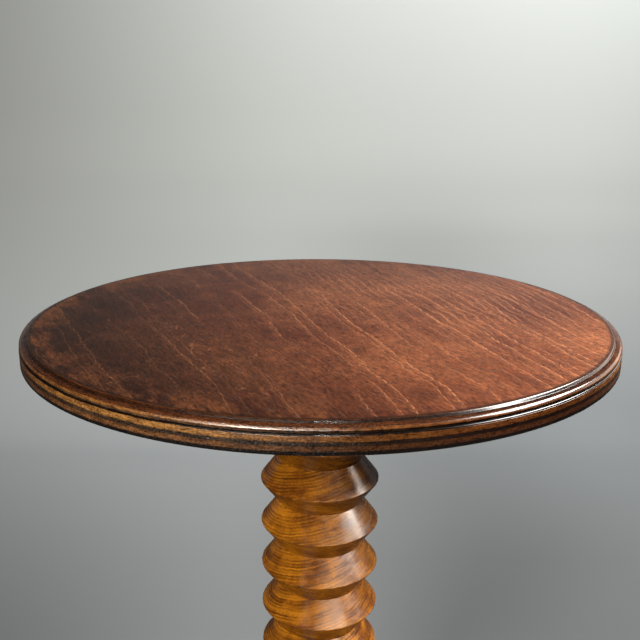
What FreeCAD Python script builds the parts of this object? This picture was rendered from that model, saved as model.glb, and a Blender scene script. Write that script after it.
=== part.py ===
import FreeCAD, Part
import os
import Sketcher

# Round pedestal side table.
# A thick round board with a moulded edge stands on one turned column of stacked double cones,
# which is tenoned into a screwed cleat above and into a stepped round base below.
# The floor is at zero height, the column's axis is the Z axis, and lengths are in millimetres.

SIZES = [
    # the table top
    ("TopDiameter", "590"),
    ("TopThickness", "25"),
    # the edge moulding that the top, the base step and the plinth share, from the face downwards
    ("FaceMargin", "7.4"),
    ("StepDrop", "2.3"),
    ("StepLean", "1.1"),
    ("ShoulderWidth", "1.6"),
    ("OvoloDrop", "3.4"),
    ("OvoloInset", "0.3"),
    ("OvoloRadius", "4.5"),
    ("QuirkHeight", "2.2"),
    ("QuirkDepth", "1.9"),
    ("LedgeRadius", "1"),
    ("UnderRadius", "2"),
    # the turned column
    ("RingDiameter", "128"),
    ("NeckDiameter", "90"),
    ("RingPitch", "50"),
    ("RingCount", "10"),
    ("RingArrisWidth", "1.2"),
    ("NeckFlat", "0.8"),
    ("TenonDiameter", "40"),
    ("TenonChamfer", "1.5"),
    ("TenonGap", "0.1"),
    ("TenonShortfall", "3"),
    # the saw kerf in the upper tenon, and its wedge
    ("KerfDepth", "24"),
    ("KerfWidth", "2"),
    ("WedgeThickness", "3.4"),
    ("WedgeShortfall", "2"),
    # the cleat under the top
    ("CleatDiameter", "240"),
    ("CleatThickness", "30"),
    ("CleatBevel", "12"),
    # the wood screws
    ("ScrewDiameter", "5"),
    ("ScrewHeadDiameter", "9.6"),
    ("ScrewHeadHeight", "3.2"),
    ("ScrewPointLength", "5"),
    ("ScrewSink", "0.6"),
    ("ScrewGap", "0.1"),
    ("ScrewSlotWidth", "1.2"),
    ("ScrewSlotDepth", "1.3"),
    ("CleatScrewLength", "44"),
    ("CleatScrewCircle", "180"),
    ("CleatScrewCount", "6"),
    ("PlinthScrewLength", "40"),
    ("PlinthScrewCircle", "210"),
    ("PlinthScrewCount", "4"),
    ("PilotSpare", "2"),
    # the stepped base
    ("CollarDiameter", "176"),
    ("CollarTopDiameter", "98"),
    ("CollarHeight", "25"),
    ("CollarFillet", "5"),
    ("CollarCoveRadius", "32"),
    ("StepDiameter", "290"),
    ("StepThickness", "25"),
    ("PlinthDiameter", "420"),
    ("PlinthThickness", "25"),
    # the coach screw and the washer under the plinth
    ("BoltDiameter", "10"),
    ("BoltLength", "90"),
    ("BoltPointLength", "9"),
    ("BoltHeadWidth", "17"),
    ("BoltHeadHeight", "7"),
    ("BoltGap", "0.1"),
    ("WasherDiameter", "60"),
    ("WasherThickness", "3"),
    ("WasherBoreGap", "0.5"),
    # the feet and their felt glides
    ("FootCircle", "330"),
    ("FootCount", "4"),
    ("FootDiameter", "62"),
    ("FootEndDiameter", "46"),
    ("FootHeight", "27"),
    ("SpigotDiameter", "20"),
    ("SpigotLength", "17"),
    ("SpigotGap", "0.1"),
    ("GlideDiameter", "40"),
    ("GlideThickness", "3"),
    ("GlideRounding", "0.8"),
    # how far a cut runs past the face that it leaves
    ("Overrun", "1"),
]

doc = FreeCAD.newDocument("side_table")
sheet = doc.addObject("Spreadsheet::Sheet", "Sizes")
for row, (alias, number) in enumerate(SIZES, start=1):
    sheet.set(f"A{row}", alias)
    sheet.set(f"B{row}", number)
    sheet.setAlias(f"B{row}", alias)
doc.recompute()

# Heights of the seats, from the floor up
FOOT_SEAT = "Sizes.GlideThickness"
PLINTH_SEAT = f"({FOOT_SEAT} + Sizes.FootHeight)"
STEP_SEAT = f"({PLINTH_SEAT} + Sizes.PlinthThickness)"
COLLAR_SEAT = f"({STEP_SEAT} + Sizes.StepThickness)"
COLUMN_SEAT = f"({COLLAR_SEAT} + Sizes.CollarHeight)"
COLUMN_LENGTH = "(Sizes.RingPitch * Sizes.RingCount)"
CLEAT_SEAT = f"({COLUMN_SEAT} + {COLUMN_LENGTH})"
TOP_SEAT = f"({CLEAT_SEAT} + Sizes.CleatThickness)"

# Lengths that follow from the seats
TENON_BORE = "(Sizes.TenonDiameter + 2 * Sizes.TenonGap)"
UPPER_TENON = "(Sizes.CleatThickness - Sizes.ScrewSink)"
BASE_DEPTH = "(Sizes.CollarHeight + Sizes.StepThickness + Sizes.PlinthThickness)"
LOWER_TENON = f"({BASE_DEPTH} - Sizes.TenonShortfall)"
SCREW_HOLE = "(Sizes.ScrewDiameter + 2 * Sizes.ScrewGap)"
COUNTERSINK = "(Sizes.ScrewHeadDiameter + 2 * Sizes.ScrewGap)"
SINK_DEPTH = "(Sizes.ScrewHeadHeight + Sizes.ScrewSink)"

# The feet stand midway between the axes, and the base's holes turn with them
BASE_TURN = "180 / Sizes.FootCount"


def value(expression):
    """The number that an expression over the sizes gives now."""
    return float(sheet.evalExpression(expression))


def origin_plane(body, role):
    """The body's own plane or axis with that role."""
    return next(feature for feature in body.Origin.OriginFeatures if feature.Role == role)


def new_body(label, height="0", turn="0"):
    """An empty body that stands at a height above the floor, turned about its own axis."""
    body = doc.addObject("PartDesign::Body", label)
    body.Label = label
    body.AllowCompound = True
    body.setExpression("Placement.Base.z", height)
    body.setExpression("Placement.Rotation.Angle", turn)
    return body


def new_sketch(body, role, name, height="0"):
    """A sketch on one of the body's own planes, lifted along that plane's normal."""
    sketch = body.newObject("Sketcher::SketchObject", name)
    sketch.AttachmentSupport = [(origin_plane(body, role), "")]
    sketch.MapMode = "FlatFace"
    sketch.setExpression("AttachmentOffset.Base.z", height)
    return sketch


def pin_point(sketch, edge, end, x, y):
    """Ties one end of an edge to a place given by two expressions."""
    tie = sketch.addConstraint(Sketcher.Constraint("DistanceX", -1, 1, edge, end, value(x)))
    sketch.setExpression(f"Constraints[{tie}]", x)
    tie = sketch.addConstraint(Sketcher.Constraint("DistanceY", -1, 1, edge, end, value(y)))
    sketch.setExpression(f"Constraints[{tie}]", y)


def arc_between(start, end, radius):
    """The shorter arc of that radius from start to end, turning anticlockwise."""
    first = FreeCAD.Vector(*start, 0)
    last = FreeCAD.Vector(*end, 0)
    chord = last - first
    middle = (first + last) / 2
    left = FreeCAD.Vector(-chord.y, chord.x, 0).normalize()
    reach = (radius**2 - (chord.Length / 2) ** 2) ** 0.5
    centre = middle + left * reach
    crown = centre - left * radius
    return Part.Arc(first, crown, last)


def outline(sketch, corners):
    """A closed outline through corners, each (x, y) or (x, y, radius) with the arc that leaves it.

    A radius above zero turns anticlockwise, and one below zero turns clockwise.
    """
    count = len(corners)
    for index, corner in enumerate(corners):
        following = corners[(index + 1) % count]
        start = (value(corner[0]), value(corner[1]))
        end = (value(following[0]), value(following[1]))
        if len(corner) == 2:
            edge = Part.LineSegment(FreeCAD.Vector(*start, 0), FreeCAD.Vector(*end, 0))
            sketch.addGeometry(edge)
        elif value(corner[2]) > 0:
            sketch.addGeometry(arc_between(start, end, value(corner[2])))
        else:
            sketch.addGeometry(arc_between(end, start, -value(corner[2])))
    for index, corner in enumerate(corners):
        following = (index + 1) % count
        leaves_by = 1
        arrives_by = 2
        if len(corner) == 3 and value(corner[2]) < 0:
            leaves_by = 2
            arrives_by = 1
        next_corner = corners[following]
        next_leaves_by = 1
        if len(next_corner) == 3 and value(next_corner[2]) < 0:
            next_leaves_by = 2
        joint = Sketcher.Constraint("Coincident", index, arrives_by, following, next_leaves_by)
        sketch.addConstraint(joint)
        pin_point(sketch, index, leaves_by, corner[0], corner[1])
        if len(corner) == 3:
            size = abs(value(corner[2]))
            tie = sketch.addConstraint(Sketcher.Constraint("Radius", index, size))
            sketch.setExpression(f"Constraints[{tie}]", f"abs({corner[2]})")


def turning(body, kind, name, corners, across):
    """A full turn of an outline about an upright axis at across on X, added or cut by its kind."""
    sketch = new_sketch(body, "XZ_Plane", f"{name}_outline")
    outline(sketch, [(f"{across} + {corner[0]}", *corner[1:]) for corner in corners])
    foot = corners[0][1]
    head = corners[-1][1]
    axis = Part.LineSegment(
        FreeCAD.Vector(value(across), value(foot), 0),
        FreeCAD.Vector(value(across), value(head), 0),
    )
    line = sketch.addGeometry(axis, True)
    pin_point(sketch, line, 1, across, foot)
    pin_point(sketch, line, 2, across, head)
    feature = body.newObject(kind, name)
    feature.Profile = sketch
    feature.ReferenceAxis = (sketch, ["Axis0"])
    feature.Angle = 360
    doc.recompute()
    return feature


def revolve(body, name, corners, across="0"):
    """A turned solid. Its outline starts at its foot and ends at its head, both nearest the axis."""
    return turning(body, "PartDesign::Revolution", name, corners, across)


def groove(body, name, corners, across="0"):
    """A turned cut, drawn like a turned solid."""
    before = body.Shape.Volume
    feature = turning(body, "PartDesign::Groove", name, corners, across)
    if not feature.Shape.Volume < before:
        raise ValueError(f"{body.Label}: {name} cuts nothing")
    return feature


def repeat_around(body, name, features, count):
    """Copies of features around the body's Z axis."""
    pattern = body.newObject("PartDesign::PolarPattern", name)
    pattern.Originals = features
    pattern.Axis = (origin_plane(body, "Z_Axis"), [""])
    pattern.Angle = 360
    pattern.setExpression("Occurrences", count)
    body.Tip = pattern
    doc.recompute()
    return pattern


def cut_round(body, name, diameter, foot, head, across="0"):
    """A plain round hole from a foot to a head height, about an upright axis at across on X."""
    radius = f"{diameter} / 2"
    return groove(body, name, [("0", foot), (radius, foot), (radius, head), ("0", head)], across)


def moulded_disc(label, height, diameter, thickness, turn="0"):
    """A round board with the shared edge moulding, its underside at its own zero."""
    body = new_body(label, height, turn)
    edge = f"{diameter} / 2"
    ovolo_top = f"{thickness} - Sizes.StepDrop"
    quirk_top = f"{ovolo_top} - Sizes.OvoloDrop"
    quirk_foot = f"{quirk_top} - Sizes.QuirkHeight"
    step_foot = f"{edge} - Sizes.FaceMargin + Sizes.StepLean"
    revolve(
        body,
        f"{label}_board",
        [
            ("0", "0"),
            (f"{edge} - Sizes.UnderRadius", "0", "Sizes.UnderRadius"),
            (edge, "Sizes.UnderRadius"),
            (edge, f"{quirk_foot} - Sizes.LedgeRadius", "Sizes.LedgeRadius"),
            (f"{edge} - Sizes.LedgeRadius", quirk_foot),
            (f"{edge} - Sizes.QuirkDepth", quirk_foot),
            (f"{edge} - Sizes.QuirkDepth", quirk_top),
            (f"{edge} - Sizes.OvoloInset", quirk_top, "Sizes.OvoloRadius"),
            (f"{step_foot} + Sizes.ShoulderWidth", ovolo_top),
            (step_foot, ovolo_top),
            (f"{edge} - Sizes.FaceMargin", thickness),
            ("0", thickness),
        ],
    )
    return body


def screw_holes(body, name, circle, count, head_seat):
    """Countersunk clearance holes, whose heads sit in the body's underside."""
    across = f"{circle} / 2"
    sink = groove(
        body,
        name,
        [
            ("0", "-Sizes.Overrun"),
            (f"{COUNTERSINK} / 2", "-Sizes.Overrun"),
            (f"{COUNTERSINK} / 2", "Sizes.ScrewSink"),
            (f"{SCREW_HOLE} / 2", SINK_DEPTH),
            (f"{SCREW_HOLE} / 2", f"{head_seat} + Sizes.Overrun"),
            ("0", f"{head_seat} + Sizes.Overrun"),
        ],
        across,
    )
    repeat_around(body, f"{name}_around", [sink], count)


def pilot_holes(body, name, circle, count, depth):
    """Blind holes in the body's underside that take the points of screws."""
    hole = cut_round(body, name, SCREW_HOLE, "-Sizes.Overrun", depth, f"{circle} / 2")
    repeat_around(body, f"{name}_around", [hole], count)


def cut_box(body, name, left, right, width, foot, head):
    """A straight slot along X, centred on the XZ plane, between two heights."""
    before = body.Shape.Volume
    sketch = new_sketch(body, "XZ_Plane", f"{name}_outline")
    outline(sketch, [(left, foot), (right, foot), (right, head), (left, head)])
    feature = body.newObject("PartDesign::Pocket", name)
    feature.Profile = sketch
    feature.Midplane = True
    feature.setExpression("Length", width)
    doc.recompute()
    if not feature.Shape.Volume < before:
        raise ValueError(f"{body.Label}: {name} cuts nothing")
    return feature


def wood_screws(label, height, length, circle, count, turn="0"):
    """Slotted countersunk screws on a circle, points up, as separate solids of one node."""
    body = new_body(label, height, turn)
    across = f"{circle} / 2"
    head = "Sizes.ScrewHeadDiameter / 2"
    shank = "Sizes.ScrewDiameter / 2"
    screw = revolve(
        body,
        f"{label}_shank",
        [
            ("0", "0"),
            (head, "0"),
            (shank, "Sizes.ScrewHeadHeight"),
            (shank, f"{length} - Sizes.ScrewPointLength"),
            ("0", length),
        ],
        across,
    )
    slot = cut_box(
        body,
        f"{label}_slot",
        f"{across} - {head} - Sizes.Overrun",
        f"{across} + {head} + Sizes.Overrun",
        "Sizes.ScrewSlotWidth",
        "-Sizes.Overrun",
        "Sizes.ScrewSlotDepth",
    )
    repeat_around(body, f"{label}_around", [screw, slot], count)
    return body


# Table top, with blind holes in its underside for the points of the cleat's screws
table_top = moulded_disc("table_top", TOP_SEAT, "Sizes.TopDiameter", "Sizes.TopThickness")
CLEAT_SCREW_REACH = "(Sizes.CleatScrewLength + Sizes.ScrewSink - Sizes.CleatThickness)"
pilot_holes(
    table_top,
    "pilot_hole",
    "Sizes.CleatScrewCircle",
    "Sizes.CleatScrewCount",
    f"{CLEAT_SCREW_REACH} + Sizes.PilotSpare",
)

# Cleat: a disc bevelled below, bored for the upper tenon and countersunk for its screws
top_cleat = new_body("top_cleat", CLEAT_SEAT)
revolve(
    top_cleat,
    "cleat_disc",
    [
        (f"{TENON_BORE} / 2", "0"),
        ("Sizes.CleatDiameter / 2 - Sizes.CleatBevel", "0"),
        ("Sizes.CleatDiameter / 2", "Sizes.CleatBevel"),
        ("Sizes.CleatDiameter / 2", "Sizes.CleatThickness"),
        (f"{TENON_BORE} / 2", "Sizes.CleatThickness"),
    ],
)
screw_holes(
    top_cleat,
    "cleat_screw_hole",
    "Sizes.CleatScrewCircle",
    "Sizes.CleatScrewCount",
    "Sizes.CleatThickness",
)

# Screws that hold the cleat to the top
wood_screws(
    "cleat_screws",
    f"{CLEAT_SEAT} + Sizes.ScrewSink",
    "Sizes.CleatScrewLength",
    "Sizes.CleatScrewCircle",
    "Sizes.CleatScrewCount",
)

# Column: one double cone repeated up the axis, with a round tenon at each end
column = new_body("column", COLUMN_SEAT)
neck = "Sizes.NeckDiameter / 2"
ring_edge = "Sizes.RingDiameter / 2"
ring = revolve(
    column,
    "double_cone",
    [
        ("0", "0"),
        (neck, "0"),
        (neck, "Sizes.NeckFlat / 2"),
        (ring_edge, "Sizes.RingPitch / 2 - Sizes.RingArrisWidth / 2"),
        (ring_edge, "Sizes.RingPitch / 2 + Sizes.RingArrisWidth / 2"),
        (neck, "Sizes.RingPitch - Sizes.NeckFlat / 2"),
        (neck, "Sizes.RingPitch"),
        ("0", "Sizes.RingPitch"),
    ],
)
stack = column.newObject("PartDesign::LinearPattern", "double_cones")
stack.Originals = [ring]
stack.Direction = (origin_plane(column, "Z_Axis"), [""])
stack.Mode = "Spacing"
stack.setExpression("Offset", "Sizes.RingPitch")
stack.setExpression("Occurrences", "Sizes.RingCount")
stack.Refine = True
column.Tip = stack
doc.recompute()
tenon = "Sizes.TenonDiameter / 2"
revolve(
    column,
    "upper_tenon",
    [
        ("0", COLUMN_LENGTH),
        (tenon, COLUMN_LENGTH),
        (tenon, f"{COLUMN_LENGTH} + {UPPER_TENON} - Sizes.TenonChamfer"),
        (f"{tenon} - Sizes.TenonChamfer", f"{COLUMN_LENGTH} + {UPPER_TENON}"),
        ("0", f"{COLUMN_LENGTH} + {UPPER_TENON}"),
    ],
)
revolve(
    column,
    "lower_tenon",
    [
        ("0", f"-{LOWER_TENON}"),
        (f"{tenon} - Sizes.TenonChamfer", f"-{LOWER_TENON}"),
        (tenon, f"Sizes.TenonChamfer - {LOWER_TENON}"),
        (tenon, "0"),
        ("0", "0"),
    ],
)
BOLT_REACH = "(Sizes.BoltLength - Sizes.WasherThickness - Sizes.TenonShortfall)"
cut_round(
    column,
    "bolt_hole",
    "(Sizes.BoltDiameter + 2 * Sizes.BoltGap)",
    f"-{LOWER_TENON} - Sizes.Overrun",
    f"{BOLT_REACH} + Sizes.PilotSpare - {LOWER_TENON}",
)

# Kerf across the upper tenon, spread to a V by the wedge driven into it
KERF_HEAD = f"({COLUMN_LENGTH} + {UPPER_TENON})"
KERF_FOOT = f"({KERF_HEAD} - Sizes.KerfDepth)"
WEDGE_HALF = "(Sizes.WedgeThickness / 2)"
KERF_HALF = "(Sizes.KerfWidth / 2)"
before_kerf = column.Shape.Volume
kerf_sketch = new_sketch(column, "YZ_Plane", "kerf_outline")
outline(
    kerf_sketch,
    [
        (f"-{KERF_HALF}", KERF_FOOT),
        (KERF_HALF, KERF_FOOT),
        (WEDGE_HALF, KERF_HEAD),
        (WEDGE_HALF, f"{KERF_HEAD} + Sizes.Overrun"),
        (f"-{WEDGE_HALF}", f"{KERF_HEAD} + Sizes.Overrun"),
        (f"-{WEDGE_HALF}", KERF_HEAD),
    ],
)
kerf = column.newObject("PartDesign::Pocket", "kerf")
kerf.Profile = kerf_sketch
kerf.Midplane = True
kerf.setExpression("Length", "Sizes.TenonDiameter + 2 * Sizes.Overrun")
doc.recompute()
if not kerf.Shape.Volume < before_kerf:
    raise ValueError("column: the kerf cuts nothing")

# Wedge: fills the kerf but for its foot, and ends flush with the tenon
tenon_wedge = new_body("tenon_wedge", COLUMN_SEAT)
wedge_sketch = new_sketch(tenon_wedge, "YZ_Plane", "wedge_outline")
WEDGE_FOOT = f"({KERF_FOOT} + Sizes.WedgeShortfall)"
WEDGE_TAPER = f"(({WEDGE_HALF} - {KERF_HALF}) / Sizes.KerfDepth)"
WEDGE_FOOT_HALF = f"({KERF_HALF} + {WEDGE_TAPER} * Sizes.WedgeShortfall)"
outline(
    wedge_sketch,
    [
        (f"-{WEDGE_FOOT_HALF}", WEDGE_FOOT),
        (WEDGE_FOOT_HALF, WEDGE_FOOT),
        (WEDGE_HALF, KERF_HEAD),
        (f"-{WEDGE_HALF}", KERF_HEAD),
    ],
)
wedge = tenon_wedge.newObject("PartDesign::Pad", "wedge")
wedge.Profile = wedge_sketch
wedge.Midplane = True
wedge.setExpression("Length", "Sizes.TenonDiameter - 2 * Sizes.TenonChamfer")
doc.recompute()

# Collar: a low turned ring with a straight fillet and a cove that runs up to the column
base_collar = new_body("base_collar", COLLAR_SEAT)
revolve(
    base_collar,
    "collar_ring",
    [
        (f"{TENON_BORE} / 2", "0"),
        ("Sizes.CollarDiameter / 2", "0"),
        ("Sizes.CollarDiameter / 2", "Sizes.CollarFillet", "-Sizes.CollarCoveRadius"),
        ("Sizes.CollarTopDiameter / 2", "Sizes.CollarHeight"),
        (f"{TENON_BORE} / 2", "Sizes.CollarHeight"),
    ],
)

# Base step: the smaller board of the base, bored for the tenon and for the plinth's screws
base_step = moulded_disc(
    "base_step", STEP_SEAT, "Sizes.StepDiameter", "Sizes.StepThickness", BASE_TURN
)
STEP_HEAD = "Sizes.StepThickness + Sizes.Overrun"
cut_round(base_step, "step_tenon_bore", TENON_BORE, "-Sizes.Overrun", STEP_HEAD)
PLINTH_SCREW_REACH = "(Sizes.PlinthScrewLength + Sizes.ScrewSink - Sizes.PlinthThickness)"
pilot_holes(
    base_step,
    "step_pilot_hole",
    "Sizes.PlinthScrewCircle",
    "Sizes.PlinthScrewCount",
    f"{PLINTH_SCREW_REACH} + Sizes.PilotSpare",
)

# Plinth: the larger board, with the tenon's bore, the screws' holes and the feet's sockets
plinth = moulded_disc(
    "plinth", PLINTH_SEAT, "Sizes.PlinthDiameter", "Sizes.PlinthThickness", BASE_TURN
)
PLINTH_HEAD = "Sizes.PlinthThickness + Sizes.Overrun"
cut_round(plinth, "plinth_tenon_bore", TENON_BORE, "-Sizes.Overrun", PLINTH_HEAD)
screw_holes(
    plinth,
    "plinth_screw_hole",
    "Sizes.PlinthScrewCircle",
    "Sizes.PlinthScrewCount",
    "Sizes.PlinthThickness",
)
socket = cut_round(
    plinth,
    "foot_socket",
    "(Sizes.SpigotDiameter + 2 * Sizes.SpigotGap)",
    "-Sizes.Overrun",
    "Sizes.SpigotLength + Sizes.PilotSpare",
    "Sizes.FootCircle / 2",
)
repeat_around(plinth, "foot_sockets", [socket], "Sizes.FootCount")

# Screws that hold the plinth to the base step
wood_screws(
    "plinth_screws",
    f"{PLINTH_SEAT} + Sizes.ScrewSink",
    "Sizes.PlinthScrewLength",
    "Sizes.PlinthScrewCircle",
    "Sizes.PlinthScrewCount",
    BASE_TURN,
)

# Washer, held against the plinth's underside
base_washer = new_body("base_washer", f"{PLINTH_SEAT} - Sizes.WasherThickness")
washer_bore = "Sizes.BoltDiameter / 2 + Sizes.WasherBoreGap"
revolve(
    base_washer,
    "washer_ring",
    [
        (washer_bore, "0"),
        ("Sizes.WasherDiameter / 2", "0"),
        ("Sizes.WasherDiameter / 2", "Sizes.WasherThickness"),
        (washer_bore, "Sizes.WasherThickness"),
    ],
)

# Coach screw: a hexagonal head below the washer, and a pointed shank up into the lower tenon
base_bolt = new_body("base_bolt", f"{PLINTH_SEAT} - Sizes.WasherThickness")
head_sketch = new_sketch(base_bolt, "XY_Plane", "head_outline", "-Sizes.BoltHeadHeight")
HEAD_CORNER = "Sizes.BoltHeadWidth / 2 / cos(30)"
outline(
    head_sketch,
    [
        (f"{HEAD_CORNER} * cos({angle})", f"{HEAD_CORNER} * sin({angle})")
        for angle in range(0, 360, 60)
    ],
)
head = base_bolt.newObject("PartDesign::Pad", "hexagon_head")
head.Profile = head_sketch
head.setExpression("Length", "Sizes.BoltHeadHeight")
doc.recompute()
revolve(
    base_bolt,
    "shank",
    [
        ("0", "0"),
        ("Sizes.BoltDiameter / 2", "0"),
        ("Sizes.BoltDiameter / 2", "Sizes.BoltLength - Sizes.BoltPointLength"),
        ("0", "Sizes.BoltLength"),
    ],
)

# Feet: one low double cone each, with a spigot glued into the plinth, on a felt glide
foot_count = int(value("Sizes.FootCount"))
for number in range(foot_count):
    turn = f"({number} * 360 / Sizes.FootCount + {BASE_TURN})"
    foot = new_body(f"foot_{number + 1}", FOOT_SEAT)
    foot.setExpression("Placement.Base.x", f"Sizes.FootCircle / 2 * cos({turn})")
    foot.setExpression("Placement.Base.y", f"Sizes.FootCircle / 2 * sin({turn})")
    revolve(
        foot,
        f"foot_{number + 1}_turning",
        [
            ("0", "0"),
            ("Sizes.FootEndDiameter / 2", "0"),
            ("Sizes.FootDiameter / 2", "Sizes.FootHeight / 2 - Sizes.RingArrisWidth / 2"),
            ("Sizes.FootDiameter / 2", "Sizes.FootHeight / 2 + Sizes.RingArrisWidth / 2"),
            ("Sizes.FootEndDiameter / 2", "Sizes.FootHeight"),
            ("Sizes.SpigotDiameter / 2", "Sizes.FootHeight"),
            ("Sizes.SpigotDiameter / 2", "Sizes.FootHeight + Sizes.SpigotLength"),
            ("0", "Sizes.FootHeight + Sizes.SpigotLength"),
        ],
    )
    glide = new_body(f"glide_{number + 1}")
    glide.setExpression("Placement.Base.x", f"Sizes.FootCircle / 2 * cos({turn})")
    glide.setExpression("Placement.Base.y", f"Sizes.FootCircle / 2 * sin({turn})")
    revolve(
        glide,
        f"glide_{number + 1}_pad",
        [
            ("0", "0"),
            ("Sizes.GlideDiameter / 2 - Sizes.GlideRounding", "0", "Sizes.GlideRounding"),
            ("Sizes.GlideDiameter / 2", "Sizes.GlideRounding"),
            ("Sizes.GlideDiameter / 2", "Sizes.GlideThickness"),
            ("0", "Sizes.GlideThickness"),
        ],
    )

doc.recompute()

for thing in doc.Objects:
    if "Invalid" in thing.State or "Error" in thing.State:
        raise ValueError(f"{thing.Name} did not build: {thing.State}")

bodies = [thing for thing in doc.Objects if thing.TypeId == "PartDesign::Body"]
for body in bodies:
    if body.Shape.isNull() or not body.Shape.isValid():
        raise ValueError(f"{body.Label} has no valid shape")

os.makedirs("parts", exist_ok=True)
for body in bodies:
    body.Shape.exportStep(f"parts/{body.Label}.step")
    print(body.Label, len(body.Shape.Solids), round(body.Shape.Volume, 1))
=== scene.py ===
import math

import bmesh
import bpy
from mathutils import Matrix, Vector


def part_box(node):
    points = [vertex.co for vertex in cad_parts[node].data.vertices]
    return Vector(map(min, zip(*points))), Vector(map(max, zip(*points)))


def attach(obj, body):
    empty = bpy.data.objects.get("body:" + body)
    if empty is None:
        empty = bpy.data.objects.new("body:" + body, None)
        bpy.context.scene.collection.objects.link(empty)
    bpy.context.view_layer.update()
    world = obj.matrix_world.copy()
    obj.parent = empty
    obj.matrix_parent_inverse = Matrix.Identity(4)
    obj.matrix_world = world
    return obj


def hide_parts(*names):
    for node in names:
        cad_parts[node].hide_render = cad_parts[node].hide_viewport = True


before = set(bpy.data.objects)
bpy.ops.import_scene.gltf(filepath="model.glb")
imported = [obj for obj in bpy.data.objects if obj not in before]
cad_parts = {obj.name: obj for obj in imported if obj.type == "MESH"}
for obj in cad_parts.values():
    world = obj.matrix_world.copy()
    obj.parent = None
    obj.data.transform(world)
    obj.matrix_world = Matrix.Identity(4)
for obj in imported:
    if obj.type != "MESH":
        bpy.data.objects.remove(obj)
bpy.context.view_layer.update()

# Round pedestal side table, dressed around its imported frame. Lengths are in metres.
MM = 0.001


# Reading sizes from the frame

def reach(node):
    """The radius of a round node that stands on the column's axis."""
    low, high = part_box(node)
    return min(-low.x, high.x, -low.y, high.y)


def foot_and_head(node):
    """The lowest and highest height of a node."""
    low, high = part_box(node)
    return low.z, high.z


# Outlines: lists of (radius, height), from the foot to the head

ARC_STEPS = 6


def bow(start, end, radius):
    """Points strictly between start and end on an arc whose centre lies to the left of the way."""
    first = Vector(start)
    last = Vector(end)
    chord = last - first
    left = Vector((-chord.y, chord.x)).normalized()
    depth = math.sqrt(max(radius ** 2 - chord.length_squared / 4, 0.0))
    centre = (first + last) / 2 + left * math.copysign(depth, radius)
    from_angle = math.atan2(first.y - centre.y, first.x - centre.x)
    to_angle = math.atan2(last.y - centre.y, last.x - centre.x)
    turn = (to_angle - from_angle + math.pi) % (2 * math.pi) - math.pi
    size = abs(radius)
    points = []
    for step in range(1, ARC_STEPS):
        angle = from_angle + turn * step / ARC_STEPS
        points.append((centre.x + size * math.cos(angle), centre.y + size * math.sin(angle)))
    return points


def eased(corners):
    """An outline whose corners, given as (radius, height, easing), are rounded by their easing."""
    points = []
    for index, corner in enumerate(corners):
        here = Vector(corner[:2])
        easing = corner[2] if len(corner) > 2 else 0
        if easing == 0 or index in (0, len(corners) - 1):
            points.append(tuple(here))
            continue
        before = Vector(corners[index - 1][:2])
        after = Vector(corners[index + 1][:2])
        back = (before - here).normalized()
        on = (after - here).normalized()
        half_angle = back.angle(on) / 2
        run = min(easing / math.tan(half_angle), (before - here).length / 2, (after - here).length / 2)
        size = run * math.tan(half_angle)
        start = here + back * run
        end = here + on * run
        side = math.copysign(1, (here - before).cross(after - here))
        points.append(tuple(start))
        points.extend(bow(start, end, side * size))
        points.append(tuple(end))
    return points


# Making pieces

TURNS = 360
ON_AXIS = 1e-7
SHARP_ANGLE = math.radians(32)


def ring(work, radius, height, turns, at):
    """The points of one level of a turned piece, or the one point where it meets the axis."""
    if radius < ON_AXIS:
        return [work.verts.new((at[0], at[1], height))]
    points = []
    for step in range(turns):
        angle = 2 * math.pi * step / turns
        x = at[0] + radius * math.cos(angle)
        y = at[1] + radius * math.sin(angle)
        points.append(work.verts.new((x, y, height)))
    return points


def skin(work, lower, upper, turns):
    """The faces between two levels, which meet in a point where one level is a single point."""
    for step in range(turns):
        following = (step + 1) % turns
        if len(lower) == 1:
            corners = (lower[0], upper[following], upper[step])
        elif len(upper) == 1:
            corners = (lower[step], lower[following], upper[0])
        else:
            corners = (lower[step], lower[following], upper[following], upper[step])
        work.faces.new(corners)


def shade_by_angle(mesh):
    """Smooth shading, with the hard edges kept."""
    mesh.shade_smooth()
    mesh.set_sharp_from_angle(angle=SHARP_ANGLE)


def in_scene(name, made):
    """An object made of a mesh, a lamp or a camera, in the scene."""
    thing = bpy.data.objects.new(name, made)
    bpy.context.scene.collection.objects.link(thing)
    return thing


def lathe(name, outline, turns=TURNS, at=(0, 0)):
    """A closed turned mesh: the outline swept round an upright axis at a place on the floor plan."""
    work = bmesh.new()
    rings = [ring(work, radius, height, turns, at) for radius, height in outline]
    pairs = list(zip(rings, rings[1:]))
    if len(rings[0]) > 1:
        pairs.append((rings[-1], rings[0]))
    for lower, upper in pairs:
        skin(work, lower, upper, turns)
    bmesh.ops.recalc_face_normals(work, faces=work.faces)
    mesh = bpy.data.meshes.new(name)
    work.to_mesh(mesh)
    work.free()
    shade_by_angle(mesh)
    return in_scene(name, mesh)


def cut_away(piece, cutters):
    """Takes the cutters out of the piece and leaves one plain mesh."""
    for cutter in cutters:
        change = piece.modifiers.new("cut", "BOOLEAN")
        change.operation = "DIFFERENCE"
        change.solver = "EXACT"
        change.object = cutter
    graph = bpy.context.evaluated_depsgraph_get()
    mesh = bpy.data.meshes.new_from_object(piece.evaluated_get(graph))
    piece.modifiers.clear()
    piece.data = mesh
    mesh.name = piece.name
    shade_by_angle(mesh)
    for cutter in cutters:
        spare = cutter.data
        bpy.data.objects.remove(cutter)
        bpy.data.meshes.remove(spare)


SCREW_HOLE = 2.6 * MM
COUNTERSINK = 4.9 * MM
SCREW_SINK = 0.6 * MM
SCREW_HEAD = 3.2 * MM
HOLE_TURNS = 48
# Circles of screws: the circle's radius, how many there are, and the first one's angle
CLEAT_SCREWS = (90 * MM, 6, 0.0)
PLINTH_SCREWS = (105 * MM, 4, math.radians(45))


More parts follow.
